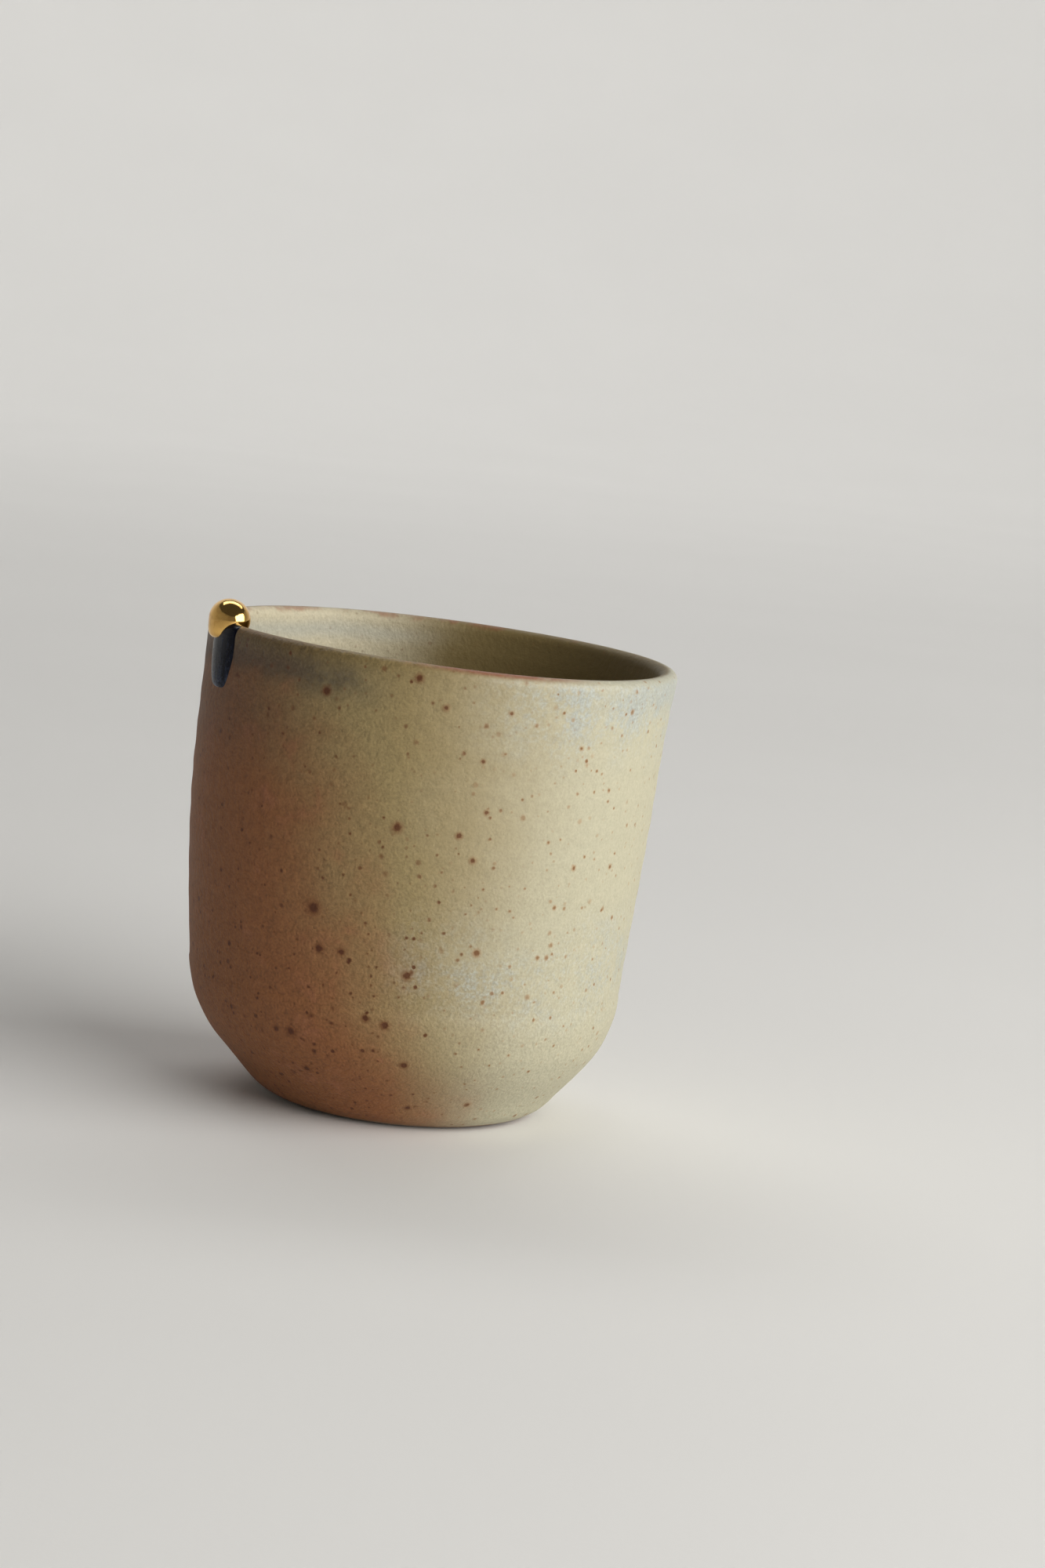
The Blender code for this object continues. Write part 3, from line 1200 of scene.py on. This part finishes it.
    def _foot(self, graph: Graph, at: GlazePlace, colour: Value) -> tuple[Value, Value, Value]:
        """The bare clay under the foot, with the turning tool's rings.

        Args:
            graph: The material's graph.
            at: The point's place.
            colour: The colour above it.

        Returns:
            How bare the clay is, its rings from -1 to 1, and the colour.
        """
        x, y, _ = graph.parts(at.point)
        edge = at.height + at.cloud * 0.5 + at.crumb * 0.15
        bare = edge.step(*self.zones.foot) * at.outside
        rings = ((x * x + y * y) ** 0.5 * 2.9 + at.cloud * 1.5).sine()
        worn = rings * 0.10 + at.crumb * 0.5 + at.cloud * 0.3 + 0.5
        clay = graph.mix(worn.at_least(0.0).at_most(1.0), self.colours.bare_clay, self.colours.pale_clay)
        return bare, rings, graph.mix(bare, colour, clay)


class PolishedGold(Finish):
    """Gold with a mirror polish, slightly uneven."""

    name = "polished_gold"
    lustre: Colour = (0.90, 0.55, 0.17)
    dark_mottle_colour: Colour = (0.58, 0.25, 0.06)

    def shader(self, graph: Graph, place: Value) -> Value:
        """Builds the surface.

        Args:
            graph: The material's graph.
            place: The point on the piece, in millimetres.

        Returns:
            The surface's shader.
        """
        swell = graph.noise(place, 3.0, 1.0)
        fine = graph.noise(place, 0.30, 2.0)
        # Darker red-brown mottles on the gold, rougher where they lie.
        dark_mottling = graph.noise(place, 1.3, 3.0, 0.8).step(-0.10, 0.60)
        colour = graph.mix(dark_mottling * 0.55, self.lustre, self.dark_mottle_colour)
        rough = 0.09 + dark_mottling * 0.12 + fine * 0.02
        return graph.add("ShaderNodeBsdfPrincipled", None,
                         {"Base Color": colour, "Metallic": 1.0, "Roughness": rough,
                          "Normal": self.bumped(graph, swell * 0.06 + fine * 0.004)})


class BlueGlass(Finish):
    """Thick dark blue glaze, streaked, and paler steel blue towards its lower end, partly a painted
    reflection.
    """

    name = "blue_glass"
    night: Colour = (0.0022, 0.0028, 0.0085)
    ink: Colour = (0.0150, 0.0200, 0.0430)
    steel_blue_and_reflection: Colour = (0.0700, 0.0950, 0.1550)

    def __init__(self, form: ThrownForm, length: float) -> None:
        """Takes what the pattern follows.

        Args:
            form: The cup's form.
            length: How far the run hangs below the crest, in metres.
        """
        super().__init__()
        self.form = form
        self.length = length

    def shader(self, graph: Graph, place: Value) -> Value:
        """Builds the surface.

        Args:
            graph: The material's graph.
            place: The point on the piece, in millimetres.

        Returns:
            The surface's shader.
        """
        x, y, z = graph.parts(place)
        crest = self.form.height / MM
        hang = self.length / MM
        fallen = (crest - z) / hang
        streaks = graph.noise(graph.joined(x, y, z * 0.22), 1.0, 2.0, 0.3)
        cloud = graph.noise(place, 1.8, 3.0)
        mottled = graph.noise(place, 0.8, 3.0, 0.8)
        clear = (streaks * 1.1 + mottled * 0.9 + 0.05).at_least(0.0).at_most(1.0)
        deep = graph.mix(clear, self.night, self.ink)
        # Paler steel blue towards the lower end, partly a painted reflection on the drop.
        pale = (fallen + cloud * 0.12).step(0.38, 0.95) * (0.42 + streaks * 1.7 + mottled * 0.6)
        colour = graph.mix(pale.at_least(0.0).at_most(1.0), deep, self.steel_blue_and_reflection)
        rough = (0.23 + cloud * 0.06 + mottled * 0.06 + fallen * 0.06).at_least(0.05)
        return graph.add("ShaderNodeBsdfPrincipled", None,
                         {"Base Color": colour, "Roughness": rough,
                          "Normal": self.bumped(graph, streaks * 0.018 + cloud * 0.02),
                          "Specular IOR Level": 0.12})


class PalePaper(Finish):
    """The studio's seamless paper."""

    name = "pale_paper"
    shaded: Colour = (0.77, 0.765, 0.75)
    white: Colour = (0.80, 0.795, 0.78)

    def shader(self, graph: Graph, place: Value) -> Value:
        """Builds the surface.

        Args:
            graph: The material's graph.
            place: The point on the paper, in millimetres.

        Returns:
            The surface's shader.
        """
        tooth = graph.noise(place, 1.2, 3.0)
        cloud = graph.noise(place, 160.0, 2.0)
        colour = graph.mix(cloud * 0.5 + 0.5, self.shaded, self.white)
        return graph.add("ShaderNodeBsdfPrincipled", None,
                         {"Base Color": colour, "Roughness": 0.9,
                          "Normal": self.bumped(graph, tooth * 0.01)})


@dataclass
class Cup:
    """The thrown stoneware vessel.

    Attributes:
        form: Its form.
        front: The heading of its front, which carries the pattern's middle.
        rows: The profile's steps: floor, inner corner, inner wall, lip, outer wall, heel, foot edge, base.
    """

    form: ThrownForm
    front: float
    rows: tuple[int, ...] = (12, 24, 54, 16, 106, 20, 14, 9)

    def spots(self) -> list[IronSpot]:
        """The larger iron spots, by heading, height and width."""
        rows = ((225.8, 42.6, 2.3), (244.6, 59.5, 1.7), (223.2, 82.0, 1.6), (244.8, 86.9, 1.4),
                (259.3, 59.2, 1.1), (263.4, 54.9, 1.1), (265.1, 63.9, 0.9), (262.5, 73.2, 0.8),
                (227.9, 35.2, 1.6), (233.7, 35.2, 1.2), (250.5, 32.3, 1.6), (267.3, 37.6, 1.3),
                (220.0, 18.4, 1.7), (246.0, 22.5, 1.5), (240.9, 23.5, 1.2), (251.4, 15.0, 1.4),
                (222.1, 11.1, 1.3), (253.7, 5.4, 1.2), (273.7, 6.7, 1.2), (291.4, 53.8, 0.9),
                (305.3, 53.5, 0.8), (267.4, 82.5, 0.8), (251.9, 82.2, 1.1), (287.7, 76.7, 0.8))
        return [IronSpot(*row) for row in rows]

    def build(self) -> bpy.types.Object:
        """Throws the cup and glazes it.

        Returns:
            The piece.
        """
        floor, corner, inner, lip, wall, heel, foot, base = self.rows
        inside = self.form.inner_line(floor, corner, inner)
        over = self.form.lip(lip)
        outside = self.form.outer_line(wall, heel, foot, base)
        glaze = AshGlaze(self.form, self.front, self.spots()).material()
        wheel = ThrowingWheel(self.form)
        return wheel.turn("stoneware_cup", inside + over + outside, len(inside) + lip // 2, glaze)


@dataclass
class GoldBead:
    """The gold bead astride the rim.

    Attributes:
        form: The cup's form.
        heading: The bead's heading.
        across: Its width from inside the cup to outside.
        along: Its length along the rim.
        tall: Its height.
        lift: Its centre above the crest.
        fullness: How square its lower outer side hangs; 2 is a plain egg.
        bite: How deep its underside reaches into the lip.
        segments: Its steps round.
        rings: Its steps from top to bottom.
        cut_rows: Steps along each side of the lip, in the shape that is cut out of it.
        cut_steps: Steps of that shape along the rim.
        cut_spread: How many degrees of the rim that shape takes in.
    """

    form: ThrownForm
    heading: float = 180.0
    across: float = 7.6 * MM
    along: float = 10.0 * MM
    tall: float = 7.6 * MM
    lift: float = 0.5 * MM
    fullness: float = 5.0
    bite: float = 0.2 * MM
    segments: int = 96
    rings: int = 64
    cut_rows: int = 24
    cut_steps: int = 48
    cut_spread: float = 24.0

    def hanging(self, point: Vector) -> Vector:
        """A unit sphere's point, moved out where the lower outer side hangs full like a drop."""
        if point.x <= 0 or point.z >= 0:
            return point
        ring = math.hypot(point.x, point.z)
        corner = (point.x / ring) ** self.fullness + (-point.z / ring) ** self.fullness
        stretch = corner ** (-1 / self.fullness)
        return Vector((point.x * stretch, point.y, point.z * stretch))

    def place(self, point: Vector) -> Vector:
        """Where a point of a unit sphere lies on the bead."""
        heading = math.radians(self.heading)
        outwards = Vector((math.cos(heading), math.sin(heading), 0.0))
        along = Vector((-math.sin(heading), math.cos(heading), 0.0))
        crest = outwards * self.form.crest_radius + Vector((0.0, 0.0, self.form.height))
        centre = self.form.thrown(crest) + Vector((0.0, 0.0, self.lift))
        full = self.hanging(point)
        return (centre + outwards * full.x * self.across / 2 + along * full.y * self.along / 2
                + Vector((0.0, 0.0, full.z * self.tall / 2)))

    def rim_space(self) -> bpy.types.Object:
        """The clay near the bead, less the bite, as a cutter."""
        bottom = self.form.height - 2 * self.tall
        outside = self.form.wall(bottom, self.cut_rows, Side.OUTSIDE, -self.bite)
        inside = self.form.wall(bottom, self.cut_rows, Side.INSIDE, -self.bite)
        line = self.form.lip(self.cut_rows, -self.bite) + outside[-2::-1] + inside[:-1]
        shape = bmesh.new()
        loop = [shape.verts.new((point.x, 0.0, point.y)) for point in line]
        edges = [shape.edges.new(pair) for pair in zip(loop, loop[1:] + loop[:1])]
        spread = math.radians(self.cut_spread)
        bmesh.ops.rotate(shape, verts=loop, cent=(0, 0, 0),
                         matrix=Matrix.Rotation(math.radians(self.heading) - spread / 2, 3, "Z"))
        bmesh.ops.spin(shape, geom=edges, cent=(0, 0, 0), axis=(0, 0, 1), angle=spread,
                       steps=self.cut_steps)
        bmesh.ops.holes_fill(shape, edges=shape.edges, sides=0)
        for vertex in shape.verts:
            vertex.co = self.form.thrown(vertex.co)
        bmesh.ops.recalc_face_normals(shape, faces=shape.faces)
        mesh = bpy.data.meshes.new("rim_space")
        shape.to_mesh(mesh)
        shape.free()
        return add_object("rim_space", mesh)

    def build(self) -> bpy.types.Object:
        """Shapes the bead and sets it on the rim.

        Returns:
            The piece.
        """
        ball = shaped_ball("bead_ball", self.place, self.segments, self.rings)
        cutter = self.rim_space()
        cut = ball.modifiers.new("rim", "BOOLEAN")
        cut.operation = "DIFFERENCE"
        cut.solver = "EXACT"
        cut.object = cutter
        bead = add_object("gold_bead_polished", plain_mesh(ball, "gold_bead_polished"))
        bpy.data.objects.remove(cutter)
        bead.data.materials.clear()
        bead.data.materials.append(PolishedGold().material())
        return bead


@dataclass
class GlazeRun:
    """The run of blue glaze on the outside below the bead.

    Attributes:
        form: The cup's form.
        heading: The run's heading.
        length: Its length along the skin.
        overlap: How far its top laps over the crest.
        width: Its width towards its top, which the bead covers.
        end_width: Its width towards its lower end.
        bluntness: How its outline closes; 1 is an ellipse, and less is blunter.
        proud: Its thickness at its thickest.
        top_share: Its thickness at its top, as a share of that at its lower end.
        bite: How deep its back reaches into the wall.
        steps: Its steps round, and from top to bottom.
    """

    form: ThrownForm
    heading: float = 184.0
    length: float = 13.2 * MM
    overlap: float = 0.5 * MM
    width: float = 12.4 * MM
    end_width: float = 8.8 * MM
    bluntness: float = 0.45
    proud: float = 1.2 * MM
    top_share: float = 0.6
    bite: float = 0.2 * MM
    steps: int = 96

    def place(self, point: Vector) -> Vector:
        """Where a point of a unit sphere lies on the run, whose back is flat against the skin."""
        fall = (1 - point.z) / 2
        ring = max(math.hypot(point.x, point.y), TINY)
        fullness = ring ** self.bluntness / ring
        thickness = self.proud * (self.top_share + (1 - self.top_share) * fall)
        proud = thickness * fullness * max(point.x, 0.0) - self.bite
        width = self.width + (self.end_width - self.width) * fall
        side = width / 2 * fullness * point.y
        distance = self.length * fall - self.overlap
        return self.form.skin(self.heading + math.degrees(side / self.form.lip_radius), distance, proud)

    def build(self) -> bpy.types.Object:
        """Shapes the run.

        Returns:
            The piece.
        """
        run = shaped_ball("blue_glass_run", self.place, self.steps, self.steps)
        run.data.materials.append(BlueGlass(self.form, self.length).material())
        return run


@dataclass
class PhotoCamera:
    """The camera at the photograph's viewing angle.

    Attributes:
        size: The picture's width and height in pixels.
        lens: The focal length in millimetres.
        sensor: The sensor's long side in millimetres.
        azimuth: The view's azimuth in degrees, 0 looking along +Y.
        elevation: How far the camera looks down, in degrees.
        roll: How far the picture is turned, in degrees.
        distance: From the camera to the aim.
        aim: The height of the point on the cup's axis that is aimed at.
        aim_pixel: Where the picture shows that point.
    """

    size: tuple[int, int] = (1333, 2000)
    lens: float = 85.0
    sensor: float = 36.0
    azimuth: float = -20.5
    elevation: float = 9.67
    roll: float = 5.86
    distance: float = 0.714
    aim: float = 42.75 * MM
    aim_pixel: tuple[float, float] = (536.4, 1124.1)

    @property
    def front(self) -> float:
        """The heading from the cup towards the camera, in degrees."""
        return self.azimuth - 90.0

    def build(self) -> None:
        """Places the camera and makes it the scene's."""
        azimuth, elevation, roll = map(math.radians, (self.azimuth, self.elevation, self.roll))
        back = Vector((math.sin(azimuth) * math.cos(elevation), -math.cos(azimuth) * math.cos(elevation),
                       math.sin(elevation)))
        level = Vector((math.cos(azimuth), math.sin(azimuth), 0.0))
        upright = back.cross(level)
        right = level * math.cos(roll) + upright * math.sin(roll)
        up = upright * math.cos(roll) - level * math.sin(roll)
        basis = Matrix((right, up, back)).transposed()
        focal = self.lens / self.sensor * max(self.size)
        ray = Vector(((self.aim_pixel[0] - self.size[0] / 2) / focal,
                      -(self.aim_pixel[1] - self.size[1] / 2) / focal, -1.0))
        swing = Vector((0.0, 0.0, -1.0)).rotation_difference(ray).to_matrix()
        data = bpy.data.cameras.new("photo_camera")
        data.lens = self.lens
        data.sensor_width = self.sensor
        camera = bpy.data.objects.new("photo_camera", data)
        bpy.context.scene.collection.objects.link(camera)
        turn = (basis @ swing.inverted()).to_4x4()
        camera.matrix_world = Matrix.Translation(back * self.distance + Vector((0, 0, self.aim))) @ turn
        bpy.context.scene.camera = camera


@dataclass
class Studio:
    """A seamless pale paper sweep and soft window light.

    Attributes:
        azimuth: The camera's azimuth, which the lights are placed by.
        reach: How far the paper reaches from the cup.
        sweep: The radius of the paper's rising edge.
        wall: The height to which it rises.
        sweep_rows: Steps of the rising edge.
        turns: Steps of the paper round the cup.
        window_at: Where the window light hangs: to the right, towards the camera, and up.
        window_size: Its width and height.
        window_power: Its power in watts.
        window_aim: The height that it faces on the cup's axis.
        lamp_at: Where the backdrop's light hangs.
        lamp_aim: What it faces.
        lamp_size: Its width and height.
        lamp_power: Its power in watts.
        daylight: The window light's colour.
        lamplight: The backdrop light's colour.
        room: The colour of the room's own faint light.
        room_power: That light's strength.
    """

    azimuth: float
    reach: float = 2.2
    sweep: float = 1.6
    wall: float = 2.6
    sweep_rows: int = 12
    turns: int = 96
    window_at: tuple[float, float, float] = (1.06, 0.60, 0.56)
    window_size: Span = (1.8, 1.05)
    window_power: float = 28.0
    window_aim: float = 0.045
    lamp_at: tuple[float, float, float] = (0.0, -2.1, 2.5)
    lamp_aim: tuple[float, float, float] = (0.0, -2.7, 0.0)
    lamp_size: Span = (3.4, 1.6)
    lamp_power: float = 46.0
    daylight: Colour = (1.0, 0.985, 0.955)
    lamplight: Colour = (1.0, 0.99, 0.97)
    room: Colour = (1.0, 0.98, 0.95)
    room_power: float = 0.06

    def at(self, right: float, towards: float, up: float) -> Vector:
        """A place in the studio.

        Args:
            right: Metres to the camera's right of the cup.
            towards: Metres from the cup towards the camera.
            up: Metres above the floor.

        Returns:
            The point.
        """
        angle = math.radians(self.azimuth)
        return Vector((math.cos(angle) * right + math.sin(angle) * towards,
                       math.sin(angle) * right - math.cos(angle) * towards, up))

    def floor(self) -> bpy.types.Object:
        """The round sweep of paper."""
        line = [Vector((0.0, 0.0)), Vector((self.reach * 0.5, 0.0))]
        for step in range(self.sweep_rows + 1):
            angle = math.pi / 2 * step / self.sweep_rows
            line.append(Vector((self.reach + self.sweep * math.sin(angle),
                                self.sweep * (1 - math.cos(angle)))))
        line.append(Vector((self.reach + self.sweep, self.wall)))
        shape = bmesh.new()
        verts = [shape.verts.new((point.x, 0.0, point.y)) for point in line]
        edges = [shape.edges.new(pair) for pair in zip(verts, verts[1:])]
        bmesh.ops.spin(shape, geom=edges, cent=(0, 0, 0), axis=(0, 0, 1), angle=2 * math.pi,
                       steps=self.turns)
        bmesh.ops.remove_doubles(shape, verts=shape.verts, dist=0.1 * MM)
        bmesh.ops.recalc_face_normals(shape, faces=shape.faces)
        if shape.faces[0].normal.z < 0:
            bmesh.ops.reverse_faces(shape, faces=shape.faces)
        mesh = bpy.data.meshes.new("paper_sweep")
        shape.to_mesh(mesh)
        shape.free()
        mesh.shade_smooth()
        mesh.materials.append(PalePaper().material())
        return add_object("paper_sweep", mesh)

    def light(self, name: str, spot: Vector, aim: Vector, size: Span, power: float,
              colour: Colour) -> None:
        """Adds a soft light.

        Args:
            name: The light's name.
            spot: Where it hangs.
            aim: What it faces.
            size: Its width and height.
            power: Its power in watts.
            colour: Its colour.
        """
        data = bpy.data.lights.new(name, "AREA")
        data.shape = "RECTANGLE"
        data.size, data.size_y = size
        data.energy = power
        data.color = colour
        lamp = bpy.data.objects.new(name, data)
        lamp.location = spot
        lamp.rotation_euler = (aim - spot).to_track_quat("-Z", "Y").to_euler()
        bpy.context.scene.collection.objects.link(lamp)

    def build(self) -> bpy.types.Object:
        """Sets up the studio.

        Returns:
            The floor.
        """
        aim = Vector((0.0, 0.0, self.window_aim))
        self.light("window", self.at(*self.window_at), aim, self.window_size, self.window_power,
                   self.daylight)
        self.light("backdrop_light", self.at(*self.lamp_at), self.at(*self.lamp_aim), self.lamp_size,
                   self.lamp_power, self.lamplight)
        world = bpy.data.worlds.new("room")
        bpy.context.scene.world = world
        world.use_nodes = True
        background = world.node_tree.nodes["Background"]
        background.inputs["Color"].default_value = (*self.room, 1.0)
        background.inputs["Strength"].default_value = self.room_power
        bpy.context.scene.view_settings.view_transform = "Standard"
        return self.floor()


def ride(piece: bpy.types.Object, node: str) -> None:
    """Puts a piece in a node's place.

    Args:
        piece: The finished piece.
        node: The node that it stands for.
    """
    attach(piece, ROOT)
    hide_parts(node)
    LOG.info("%s: %d faces, in place of %s", piece.name, len(piece.data.polygons), node)


def main() -> None:
    """Builds the camera, the studio and the three pieces."""
    logging.basicConfig(level=logging.INFO, format="%(name)s: %(message)s")
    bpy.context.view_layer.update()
    camera = PhotoCamera()
    camera.build()
    studio = Studio(camera.azimuth)
    studio.build()
    form = ThrownForm()
    ride(Cup(form, camera.front).build(), "cup_body")
    ride(GoldBead(form).build(), "gold_bead")
    ride(GlazeRun(form).build(), "blue_glaze_run")


if __name__ == "__main__":
    main()
